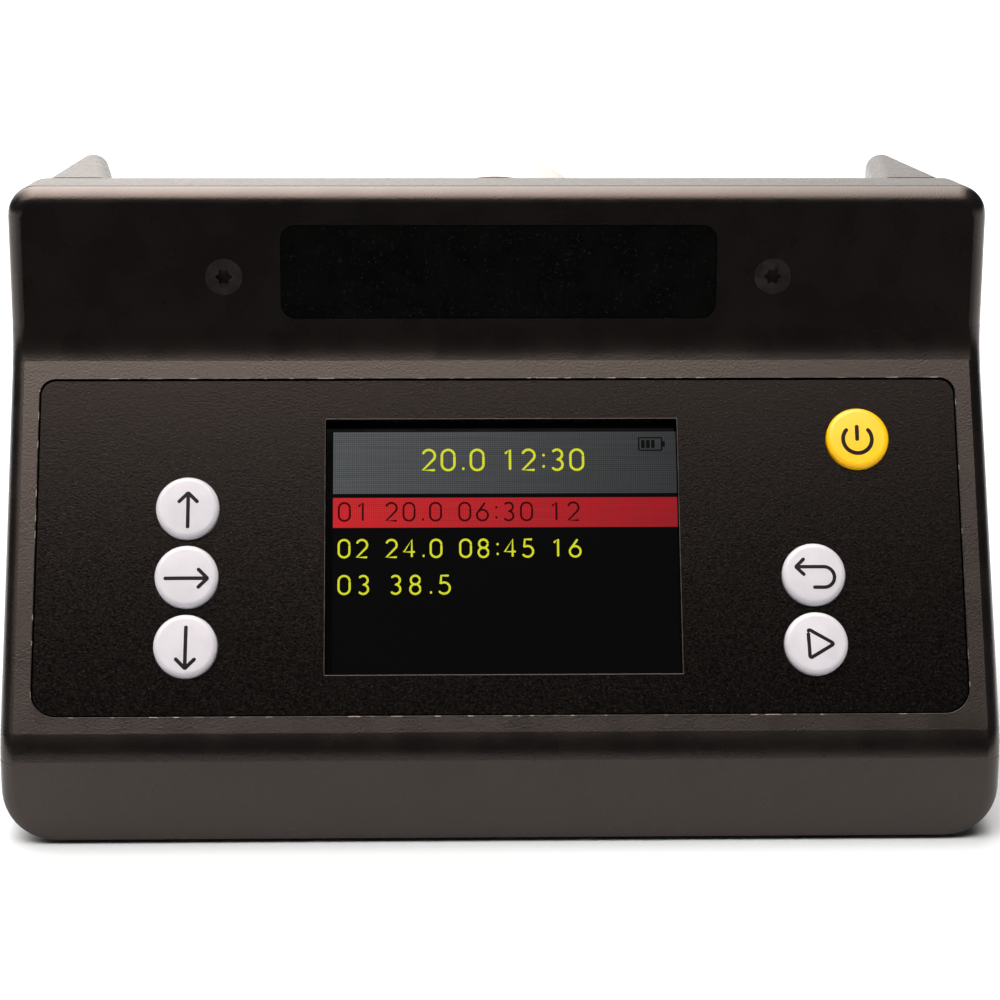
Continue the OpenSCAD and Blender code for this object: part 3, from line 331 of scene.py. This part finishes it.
def piece(name, grids, mat, body):
    """One mesh from point grids of shape (rows, columns, 3): four neighbours on a grid make a face."""
    points, faces, base = [], [], 0
    for grid in grids:
        rows, cols = grid.shape[:2]
        number = base + np.arange(rows * cols).reshape(rows, cols)
        corners = [number[:-1, :-1], number[:-1, 1:], number[1:, 1:], number[1:, :-1]]
        faces.append(np.stack(corners, -1).reshape(-1, 4))
        points.append(grid.reshape(-1, 3))
        base += rows * cols
    mesh = bpy.data.meshes.new(name)
    mesh.from_pydata(np.concatenate(points).tolist(), [], np.concatenate(faces).tolist())
    closed = bmesh.new()
    closed.from_mesh(mesh)
    bmesh.ops.remove_doubles(closed, verts=closed.verts, dist=DOUBLE)
    closed.to_mesh(mesh)
    closed.free()
    mesh.shade_smooth()
    mesh.set_sharp_from_angle(angle=CRISP)
    mesh.materials.append(mat)
    obj = bpy.data.objects.new(name, mesh)
    bpy.context.scene.collection.objects.link(obj)
    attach(obj, body)
    return obj


print("panel frame ready")

# %% [markdown]
# ## Button caps
#
# A real cap is nearly flat on top with a soft round rim, which catches the light above as a pale crescent.
# The frame's button is a plain dome, so a turned shape stands in for it: a crown, a rim and a skirt, all
# one profile carried round the button's axis, 0.1 mm wider than the dome. Ears that stop the cap behind the
# casing and the stem that meets the switch are on it too.

# %% Button caps
BUTTON_R, RIM_R, TOP, CROWN, SKIRT = 5.3, 0.95, 1.25, 0.12, 0.35
EAR_W, EAR_H, EAR_LOW, EAR_HIGH = 14.0, 5.0, -4.25, -3.05
STEM_R, STEM_LOW = 1.5, -6.25
BUTTONS = {
    "button_up": (-52.2, 40.4), "button_select": (-52.2, 28.65), "button_down": (-52.2, 16.9),
    "button_power": (60.45, 52.15), "button_back": (52.2, 28.65), "button_start": (52.2, 16.9),
}


def turned(at, radius, height, outline):
    """A profile of radii and heights carried round an outline of unit size about a place on the panel."""
    u = at[0] + radius[:, None] * outline[:, 0]
    v = at[1] + radius[:, None] * outline[:, 1]
    return on_panel(u, v, height[:, None])


def crown(radius):
    """Height of a cap's top: it falls with the square of the radius, by CROWN where the rim starts."""
    return TOP - CROWN * (radius / (BUTTON_R - RIM_R)) ** 2


def cap_tone(name):
    """A cap's finish and its slot: yellow on the power button, white on the others."""
    return (cap_yellow, "cap_yellow") if name == "button_power" else (cap_white, "cap_white")


angle = np.linspace(0, 2 * np.pi, 73)
circle = np.stack([np.cos(angle), np.sin(angle)], 1)
top_r = np.linspace(0, BUTTON_R - RIM_R, 12)
quarter = np.linspace(0, np.pi / 2, 13)[1:]
rim_r = BUTTON_R - RIM_R + RIM_R * np.sin(quarter)
rim_h = SKIRT + (TOP - CROWN - SKIRT) * np.cos(quarter)
cap_r = np.concatenate([top_r, rim_r, [BUTTON_R, 0]])[::-1]
cap_h = np.concatenate([crown(top_r), rim_h, [EAR_HIGH, EAR_HIGH]])[::-1]
box = np.array([[1, 1], [-1, 1], [-1, -1], [1, -1], [1, 1]]) * [EAR_W / 2, EAR_H / 2]
ear_r, ear_h = np.array([0, 1, 1, 0]), np.array([EAR_LOW, EAR_LOW, EAR_HIGH, EAR_HIGH])
stem_r, stem_h = np.array([0, STEM_R, STEM_R, 0]), np.array([STEM_LOW, STEM_LOW, EAR_LOW, EAR_LOW])
for name, at in BUTTONS.items():
    cap = turned(at, cap_r, cap_h, circle)
    ears = turned(at, ear_r, ear_h, box)
    stem = turned(at, stem_r, stem_h, circle)
    tone, slot = cap_tone(name)
    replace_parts(piece(name + "_cap", [cap, ears, stem], tone, name + "_key"), name)
print("turned", len(BUTTONS), "caps")

# %% [markdown]
# ## Marks on the buttons
#
# Each mark is pad printed: arrows, a return arrow, an outlined triangle and the usual power sign. A mark is
# a line of even width with round ends, bent onto the cap's crown. As real ink does, it lies a hair above
# the plastic.

# %% Marks on the buttons
PRINT = 0.012
ARROW_W, OUTLINE_W, POWER_W = 0.62, 0.6, 0.68
MARK_STEP = 0.15
print_black = finish(
    "pad print ink, black", ("#0c0909", "#120e0d"), (0.45, 0.6), 1.2 * MM, Specular_IOR_Level=0.15,
)


def on_cap(at, flat):
    """A flat mark laid on a cap: its height is the crown's at that distance from the middle, plus the ink."""
    return laid(np.array(at) + flat, crown(np.linalg.norm(flat, axis=-1)) + PRINT)


def arc(middle, radius, start, end):
    """Points on a circle between two angles in degrees, about every 6 degrees."""
    t = np.radians(np.linspace(start, end, 2 + int(abs(end - start) / 6)))
    return np.array(middle) + radius * np.stack([np.cos(t), np.sin(t)], 1)


def fine(path, step):
    """Points along a path of straight lines, no further apart than the step, with its own corners kept."""
    path = np.asarray(path, float)
    along = np.concatenate([[0], np.cumsum(np.linalg.norm(np.diff(path, axis=0), axis=1))])
    at = np.unique(np.concatenate([along, np.arange(0, along[-1], step)]).round(6))
    return np.stack([np.interp(at, along, path[:, k]) for k in (0, 1)], 1)


def stroke(path, width):
    """A line along a path: the path shifted both ways along its normal, with half circles at its two ends."""
    path = np.asarray(path, float)
    along = np.concatenate([[0], np.cumsum(np.linalg.norm(np.diff(path, axis=0), axis=1))])
    cap = width / 2 * (1 - np.cos(np.linspace(0, np.pi / 2, 7)))
    at = np.unique(np.concatenate([along, cap, along[-1] - cap]).round(6))
    path = np.stack([np.interp(at, along, path[:, k]) for k in (0, 1)], 1)
    gap = np.minimum(np.minimum(at, along[-1] - at), width / 2)
    half = np.sqrt(np.maximum((width / 2) ** 2 - (width / 2 - gap) ** 2, 0))
    step = np.gradient(path, axis=0)
    step /= np.linalg.norm(step, axis=1)[:, None]
    side = np.stack([-step[:, 1], step[:, 0]], 1) * half[:, None]
    return np.stack([path - side, path + side])


def arrow(tail, tip, head):
    """A shaft from tail to tip and a head whose two sides lean back 45 degrees by this much each way."""
    tail, tip = np.array(tail, float), np.array(tip, float)
    back = (tail - tip) / np.linalg.norm(tail - tip)
    side = np.array([-back[1], back[0]])
    return [np.array([tail, tip]), np.array([tip + (back + side) * head, tip, tip + (back - side) * head])]


def round_corners(corners, radius):
    """A closed outline: each corner is a quadratic curve, cut back by the radius along both sides."""
    corners = np.asarray(corners, float)
    t = np.linspace(0, 1, 9)[:, None]
    path = []
    for before, here, after in zip(np.roll(corners, 1, 0), corners, np.roll(corners, -1, 0)):
        a = here + (before - here) / np.linalg.norm(before - here) * radius
        b = here + (after - here) / np.linalg.norm(after - here) * radius
        path.append((1 - t) ** 2 * a + 2 * t * (1 - t) * here + t ** 2 * b)
    return np.concatenate([*path, path[0][:1]])


turn_back = np.concatenate([[[-3.0, 1.15]], arc([1.6, -0.6], 1.75, 90, -90), [[-0.3, -2.35]]])
ring, tick = arc([-0.1, -0.28], 2.43, 131, 409), np.array([[-0.15, 2.25], [-0.15, -0.6]])
play = round_corners([[-1.4, 2.3], [2.9, -0.2], [-1.2, -2.65]], 0.55)
MARKS = {
    "button_up": (ARROW_W, arrow([0.1, -3.65], [0.12, 2.45], 1.7)),
    "button_select": (ARROW_W, arrow([-3.75, -0.42], [3.52, -0.42], 1.7)),
    "button_down": (ARROW_W, arrow([0.12, 3.35], [0.02, -3.85], 1.72)),
    "button_power": (POWER_W, [ring, tick]),
    "button_back": (OUTLINE_W, [turn_back, *arrow([0, 1.15], [-3.05, 1.15], 1.5)[1:]]),
    "button_start": (OUTLINE_W, [play]),
}
for name, (width, paths) in MARKS.items():
    lines = [on_cap(BUTTONS[name], stroke(fine(path, MARK_STEP), width)) for path in paths]
    _, slot = cap_tone(name)
    piece(name + "_mark", lines, print_black, name + "_key")
print("printed", len(MARKS), "marks")

# %% [markdown]
# ## Edges of the overlay
#
# The overlay lies in a shallow pocket. The gap round it is narrower than the camera can part, so a matte
# black ribbon on the casing is painted shadow for the gap. The pocket's scraped edge beside it is a bead,
# and the pale flecks on it are painted glints of the light above. The cut edge of the film round the window
# is paler. Each edge is a thin bead: a circle carried along the outline.

# %% Edges of the overlay
OVERLAY = {"width": 154.4, "height": 57.4, "up": 5.4, "low_r": 4.0, "top_r": 2.4, "face": -0.2}
WINDOW = {"width": 59.4, "height": 44.0, "x": 0.35, "up": 34.0, "r": 0.1}
GAP, GAP_LIFT, BEAD = 0.28, 0.01, 0.075
EDGE_STEP = 1.0


def plate_outline(width, height, low_r, top_r, middle):
    """A rectangle about its middle with round corners: arcs of low_r below and of top_r above."""
    x, y = width / 2, height / 2
    path = np.concatenate([
        arc([x - top_r, y - top_r], top_r, 0, 90), arc([top_r - x, y - top_r], top_r, 90, 180),
        arc([low_r - x, low_r - y], low_r, 180, 270), arc([x - low_r, low_r - y], low_r, 270, 360),
    ])
    return np.concatenate([path, path[:1]]) + np.array(middle)


def beside(path, offsets):
    """A closed path repeated at each offset along its outward normal, a quarter turn from its heading."""
    path = fine(path, EDGE_STEP)
    ahead = np.roll(path[:-1], -1, 0) - np.roll(path[:-1], 1, 0)
    ahead = np.concatenate([ahead, ahead[:1]])
    ahead /= np.linalg.norm(ahead, axis=1)[:, None]
    side = np.stack([ahead[:, 1], -ahead[:, 0]], 1)
    return path[None] + np.asarray(offsets)[:, None, None] * side[None]


def bead(path, out, face):
    """A round bead on the panel: a circle about the path moved out by this much, at the face's height."""
    t = np.linspace(0, 2 * np.pi, 9)
    return laid(beside(path, out + BEAD * np.cos(t)), face + BEAD * np.sin(t)[:, None])


edge = plate_outline(
    OVERLAY["width"], OVERLAY["height"], OVERLAY["low_r"], OVERLAY["top_r"],
    (0, OVERLAY["up"] + OVERLAY["height"] / 2),
)
hole = plate_outline(
    WINDOW["width"], WINDOW["height"], WINDOW["r"], WINDOW["r"], (WINDOW["x"], WINDOW["up"]),
)
# A black ribbon just over the casing round the overlay: painted shadow of the gap.
piece("overlay_gap", [laid(beside(edge, [0, GAP]), GAP_LIFT)], gap_shadow_black, "console")
# The pocket's scraped edge as a bead; its pale flecks are painted glints.
piece("pocket_edge", [bead(edge, GAP + BEAD / 2, 0.0)], scraped_with_glints, "console")
piece("window_edge", [bead(hole, 0.0, OVERLAY["face"])], film_edge, "console")
print("edges laid: gap", GAP, "mm, beads", 2 * BEAD, "mm")

# %% [markdown]
# ## The lit screen
#
# The screen shows plain numbers only. A title bar in grey, one chosen row in red and two more rows stand on
# a black field. The display's pixels are 0.18 mm apart. Lines that fine would blur away at this size, so
# they are drawn twice as far apart, and long faint streaks cross them as on a real panel driven row by row.

# %% The lit screen
PIXEL = 0.36 * MM
STREAK = (16 * MM, 0.5 * MM, 1.0)
GLASS = -3.05
LIT = {"left": -28.1, "right": 30.0, "top": 54.5, "low": 11.3}


def lit(name, left, right, line):
    """A lit patch: its light runs from the left to the right colour, less the line share between pixels."""
    mat = coat(name, "#000000", 0.06, Specular_IOR_Level=0.15, Emission_Strength=1.0)
    tree = mat.node_tree
    place = add(tree, "TexCoord", "Object")
    flat = add(tree, "Mapping", "Vector", Vector=place, Rotation=(RECLINE - math.pi / 2, 0.0, 0.0))
    wave = 2 * math.pi / 20 / PIXEL
    columns = add(tree, "TexWave", "Fac", {"bands_direction": "X"}, Vector=flat, Scale=wave)
    rows = add(tree, "TexWave", "Fac", {"bands_direction": "Y"}, Vector=flat, Scale=wave)
    drawn = add(tree, "Mapping", "Vector", Vector=flat, Scale=[1 / s for s in STREAK])
    streak = add(tree, "TexNoise", "Fac", Vector=drawn, Scale=1.0, Detail=1.0)
    grid = add(tree, "Math", "Value", {"operation": "MULTIPLY"}, Value=columns, Value_001=rows)
    worn = add(tree, "Math", "Value", {"operation": "MULTIPLY"}, Value=grid, Value_001=streak)
    keep = add(tree, "MapRange", "Result", Value=worn, From_Max=0.4, To_Min=1.0 - line, To_Max=1.0)
    across = add(tree, "SeparateXYZ", "X", Vector=flat)
    fade = add(
        tree, "MapRange", "Result", Value=across, From_Min=LIT["left"] * MM, From_Max=LIT["right"] * MM,
    )
    tone = add(
        tree, "Mix", "Result_Color", {"data_type": "RGBA"},
        Factor_Float=fade, A_Color=linear(left), B_Color=linear(right),
    )
    light = add(tree, "VectorMath", "Vector", {"operation": "SCALE"}, Vector=tone, Scale=keep)
    wire(tree, surface(mat), Emission_Color=light)
    return mat


title_grey = lit("LCD, title grey", "#626566", "#404243", 0.5)
chosen_red = lit("LCD, red", "#de3034", "#a8242c", 0.35)
figure_yellow = lit("LCD, yellow", "#e6ec32", "#e6ec32", 0.25)
figure_dark = lit("LCD, dark figures", "#3d090c", "#38080c", 0.2)
field_black = lit("LCD, black field", "#0c0c0d", "#0b0b0c", 0.3)
print("display lights ready, pixel lines", PIXEL / MM, "mm apart")

# %% [markdown]
# ## Figures on the screen
#
# A display draws figures as lines of even width. Each figure here is one or two paths in a box 0.6 wide and
# 1 high, made of straight lines and arcs, and a row of them is spread between its left and right ends.

# %% Figures on the screen
loop = np.concatenate([arc([0.3, 0.7], 0.3, 0, 180), arc([0.3, 0.3], 0.3, 180, 360), [[0.6, 0.7]]])
six = np.concatenate([[[0.44, 1.0], [0.1, 0.52]], arc([0.3, 0.3], 0.3, 150, -212)])
FIGURES = {
    "0": [loop],
    "1": [np.array([[0.1, 0.8], [0.34, 1.0], [0.34, 0.0]])],
    "2": [np.concatenate([arc([0.3, 0.71], 0.29, 165, -38), [[0.02, 0.0], [0.6, 0.0]]])],
    "3": [np.concatenate([arc([0.28, 0.76], 0.24, 150, -90), arc([0.28, 0.26], 0.26, 90, -150)])],
    "4": [np.array([[0.44, 0.0], [0.44, 1.0], [0.0, 0.3], [0.62, 0.3]])],
    "5": [np.concatenate([[[0.54, 1.0], [0.13, 1.0]], arc([0.28, 0.31], 0.31, 128, -150)])],
    "6": [six],
    "8": [arc([0.3, 0.76], 0.24, 0, 360), arc([0.3, 0.26], 0.27, 0, 360)],
    "9": [np.array([0.6, 1.0]) - six],
    ":": [np.array([[0.1, 0.66], [0.1, 0.8]]), np.array([[0.1, 0.1], [0.1, 0.24]])],
    ".": [np.array([[0.1, 0.0], [0.1, 0.14]])],
}
FIGURE_GAP = 0.24
FIGURE_STEP = 0.6 + FIGURE_GAP
SLIM_SIGNS = {":": 0.42, ".": 0.42, " ": 0.55}
FIELD_LIFT, BAR_LIFT, FIGURE_LIFT = 0.01, 0.02, 0.03
TITLE_LOW, CHOSEN_LOW, CHOSEN_HIGH = 43.7, 37.8, 43.0
ROW_LEFT, ROW_LINE = -27.1, 0.36


def figure_row(text, left, right, low, high, width):
    """The lines of a row of figures: each sign stands where the widths before it end, stretched to fit."""
    height = high - low
    advance = np.array([SLIM_SIGNS.get(sign, FIGURE_STEP) for sign in text])
    start = left + (np.cumsum(advance) - advance) * (right - left) / (advance.sum() - FIGURE_GAP)
    return [
        stroke(path * height + [pen, low], width)
        for sign, pen in zip(text, start) for path in FIGURES.get(sign, [])
    ]


def screen(name, flats, lift, mat):
    """Flat screen shapes, lifted a little off the glass so that they lie in layers."""
    piece(name, [laid(flat, GLASS + lift) for flat in flats], mat, "console")


def bar(left, right, low, high):
    """A rectangle as a two by two grid of corners."""
    return np.array([[[left, low], [right, low]], [[left, high], [right, high]]], float)


left, right, low, top = (LIT[side] for side in ("left", "right", "low", "top"))
screen("screen_field", [bar(left, right, low, top)], FIELD_LIFT, field_black)
screen("screen_title", [bar(left, right, TITLE_LOW, top)], BAR_LIFT, title_grey)
screen("screen_chosen", [bar(left, right, CHOSEN_LOW, CHOSEN_HIGH)], BAR_LIFT, chosen_red)
title = figure_row("20.0 12:30", -13.0, 14.4, 47.8, 51.35, 0.42)
screen("screen_title_figures", title, FIGURE_LIFT, figure_yellow)
chosen = figure_row("01 20.0 06:30 12", ROW_LEFT, 13.6, 39.0, 42.1, 0.34)
screen("screen_chosen_figures", chosen, FIGURE_LIFT, figure_dark)
rows = figure_row("02 24.0 08:45 16", ROW_LEFT, 13.85, 32.7, 35.7, ROW_LINE)
rows += figure_row("03 38.5", ROW_LEFT, -8.0, 26.4, 29.5, ROW_LINE)
screen("screen_row_figures", rows, FIGURE_LIFT, figure_yellow)
shell = round_corners([[23.7, 51.2], [23.7, 53.4], [27.6, 53.4], [27.6, 51.2]], 0.2)
battery = [stroke(fine(shell, 0.2), 0.26), bar(27.7, 28.15, 51.8, 52.8)]
battery += [bar(x, x + 0.62, 51.6, 53.0) for x in (24.1, 24.95, 25.8)]
screen("screen_battery", battery, FIGURE_LIFT, field_black)
print("screen lit with", len(rows), "figure lines in its plain rows")

# %% [markdown]
# ## Studio
#
# The machine stands on white paper under a pale ceiling light, which ends 46 degrees up in front and
# reaches down to the paper behind, so the world's brightness follows the direction. The panel leans back
# and mirrors the light's front edge, which fades down the overlay. The lip mirrors the white paper close
# by. The upright header is blacker than the lip in the photo, so a black card lies further in front, where
# the header mirrors it. Only glossy surfaces see the card: the paper itself stays plain and pale.

# %% Studio
paper = coat("paper, white", "#b6bbbf", 0.9)
card_black = coat("card, black", "#272626", 0.9, Specular_IOR_Level=0.0)
FLOOR = ((-4, -1.2), (4, 4))
CARD = ((-0.45, -1.2), (0.45, -0.13))
CARD_LIFT = 0.5 * MM
FRONT_EDGE, OVERHEAD, PAST_TOP, BEHIND = (math.radians(a) for a in (46, 90, 100, 172))
EDGE_FADE, TOP_LIGHT, BACK_LIGHT, ROOM_LIGHT = 0.35, 12.0, 1.35, 0.05
LEFT_FADE, RIGHT_FADE = (-0.82, -0.15), (0.45, -0.06)


def plane(name, extent, height, mat):
    """A level stage plane between two corners x and y."""
    (x0, y0), (x1, y1) = extent
    mesh = bpy.data.meshes.new(name)
    corners = [(x0, y0, height), (x1, y0, height), (x1, y1, height), (x0, y1, height)]
    mesh.from_pydata(corners, [], [(0, 1, 2, 3)])
    mesh.materials.append(mat)
    obj = bpy.data.objects.new(name, mesh)
    bpy.context.scene.collection.objects.link(obj)
    return obj


plane("floor", FLOOR, 0.0, paper)
card = plane("black card", CARD, CARD_LIFT, card_black)
card.visible_camera = card.visible_diffuse = card.visible_shadow = False
world = bpy.data.worlds.new("room")
world.use_nodes = True
tree = world.node_tree
toward = add(tree, "TexCoord", "Generated")
side, back, high = (add(tree, "SeparateXYZ", axis, Vector=toward) for axis in "XYZ")
front = add(tree, "Math", "Value", {"operation": "MULTIPLY"}, Value=back, Value_001=-1.0)
rise = add(tree, "Math", "Value", {"operation": "ARCTAN2"}, Value=high, Value_001=front)
start = add(tree, "MapRange", "Result", Value=rise, From_Min=FRONT_EDGE, From_Max=OVERHEAD)
lower = add(tree, "Math", "Value", {"operation": "POWER"}, Value=start, Value_001=EDGE_FADE)
upper = add(
    tree, "MapRange", "Result", Value=rise,
    From_Min=PAST_TOP, From_Max=BEHIND, To_Min=TOP_LIGHT, To_Max=BACK_LIGHT,
)
from_left, from_right = (
    add(tree, "MapRange", "Result", Value=side, From_Min=dark, From_Max=full)
    for dark, full in (LEFT_FADE, RIGHT_FADE)
)
tall = add(tree, "Math", "Value", {"operation": "MULTIPLY"}, Value=lower, Value_001=upper)
wide = add(tree, "Math", "Value", {"operation": "MULTIPLY"}, Value=from_left, Value_001=from_right)
glow = add(
    tree, "Math", "Value", {"operation": "MULTIPLY_ADD"},
    Value=tall, Value_001=wide, Value_002=ROOM_LIGHT,
)
wire(tree, tree.nodes["Background"], Color=linear("#fff8f2"), Strength=glow)
bpy.context.scene.world = world
bpy.context.scene.view_settings.view_transform = "Standard"
print("studio ready")

# %% [markdown]
# ## Camera
#
# The camera's place and turn were solved from the panel's corners in the photo: it looks down 15.5 degrees
# from half a metre in front of the panel, a little to the left.

# %% Camera
PITCH, YAW, ROLL = (math.radians(a) for a in (15.46543, -1.553792, 0.235595))
FOCAL_PX, IMAGE_PX, SENSOR = 2921.494, 1000, 36
PLACE = (-12.8303 * MM, -509.1097 * MM, 183.5829 * MM)
cp, sp, cy, sy, cr, sr = (f(a) for a in (PITCH, YAW, ROLL) for f in (math.cos, math.sin))
level = np.array([[1, 0, 0], [0, 0, -1], [0, 1, 0]])
nod = np.array([[1, 0, 0], [0, cp, -sp], [0, sp, cp]])
swing = np.array([[cy, sy, 0], [-sy, cy, 0], [0, 0, 1]])
lean = np.array([[cr, -sr, 0], [sr, cr, 0], [0, 0, 1]])
aside, down, ahead = lean @ nod @ level @ swing
data = bpy.data.cameras.new("camera")
data.sensor_width = SENSOR
data.lens = FOCAL_PX * SENSOR / IMAGE_PX
camera = bpy.data.objects.new("camera", data)
turned_to = Matrix(np.column_stack([aside, -down, -ahead]).tolist()).to_4x4()
camera.matrix_world = Matrix.Translation(PLACE) @ turned_to
bpy.context.scene.collection.objects.link(camera)
bpy.context.scene.camera = camera
print("camera placed")
